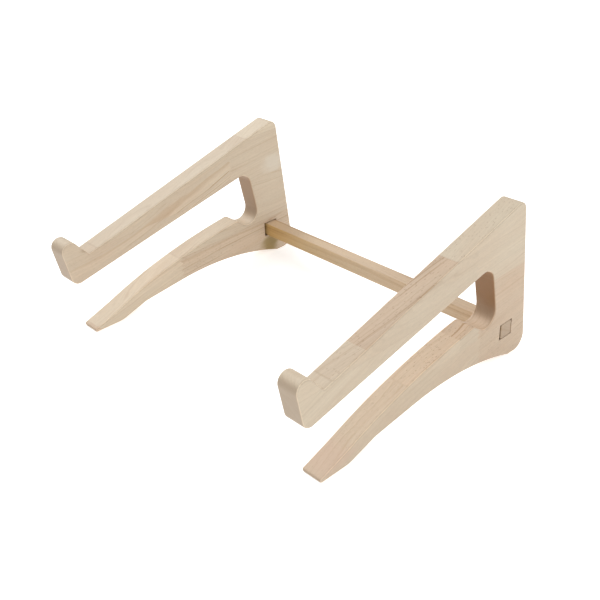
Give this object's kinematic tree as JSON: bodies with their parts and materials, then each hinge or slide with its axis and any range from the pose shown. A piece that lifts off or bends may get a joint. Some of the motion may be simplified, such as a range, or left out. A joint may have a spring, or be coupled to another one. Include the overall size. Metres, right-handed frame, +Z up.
{
  "type": "laptop stand",
  "caption": "Wooden laptop stand: side panels with a sloping arm, a front hook and an arched leg, joined by a square crossbar that slides into through mortises.",
  "frame": {"origin": "under the middle of the stand, on the table", "axes": "+X across the stand to the right panel, +Y from the hooks to the back, +Z up from the table"},
  "size_m": [0.284, 0.24, 0.128],
  "materials": {
    "left_foot_stave_wood": "clear matt lacquer over edge-glued rubberwood",
    "left_arm_front_stave_wood": "clear matt lacquer over edge-glued rubberwood",
    "left_post_stave_wood": "clear matt lacquer over edge-glued rubberwood",
    "left_hook_stave_wood": "clear matt lacquer over edge-glued rubberwood",
    "left_arm_stave_wood": "clear matt lacquer over edge-glued rubberwood",
    "left_top_stave_wood": "clear matt lacquer over edge-glued rubberwood",
    "right_foot_stave_wood": "clear matt lacquer over edge-glued rubberwood",
    "right_arm_front_stave_wood": "clear matt lacquer over edge-glued rubberwood",
    "right_post_stave_wood": "clear matt lacquer over edge-glued rubberwood",
    "right_hook_stave_wood": "clear matt lacquer over edge-glued rubberwood",
    "right_arm_stave_wood": "clear matt lacquer over edge-glued rubberwood",
    "right_top_stave_wood": "clear matt lacquer over edge-glued rubberwood",
    "crossbar_wood": "clear matt lacquer over solid rubberwood"
  },
  "bodies": {
    "crossbar": {"crossbar": "crossbar_wood"},
    "left_panel": {"left_foot_stave": "left_foot_stave_wood", "left_arm_front_stave": "left_arm_front_stave_wood", "left_post_stave": "left_post_stave_wood", "left_hook_stave": "left_hook_stave_wood", "left_arm_stave": "left_arm_stave_wood", "left_top_stave": "left_top_stave_wood"},
    "right_panel": {"right_foot_stave": "right_foot_stave_wood", "right_arm_front_stave": "right_arm_front_stave_wood", "right_post_stave": "right_post_stave_wood", "right_hook_stave": "right_hook_stave_wood", "right_arm_stave": "right_arm_stave_wood", "right_top_stave": "right_top_stave_wood"}
  },
  "joints": [
    {"name": "left_panel_slide", "type": "slide", "parent": "crossbar", "child": "left_panel", "axis": [-1, 0, 0], "range_m": [0, 0.02]},
    {"name": "right_panel_slide", "type": "slide", "parent": "crossbar", "child": "right_panel", "axis": [1, 0, 0], "range_m": [0, 0.02]}
  ]
}
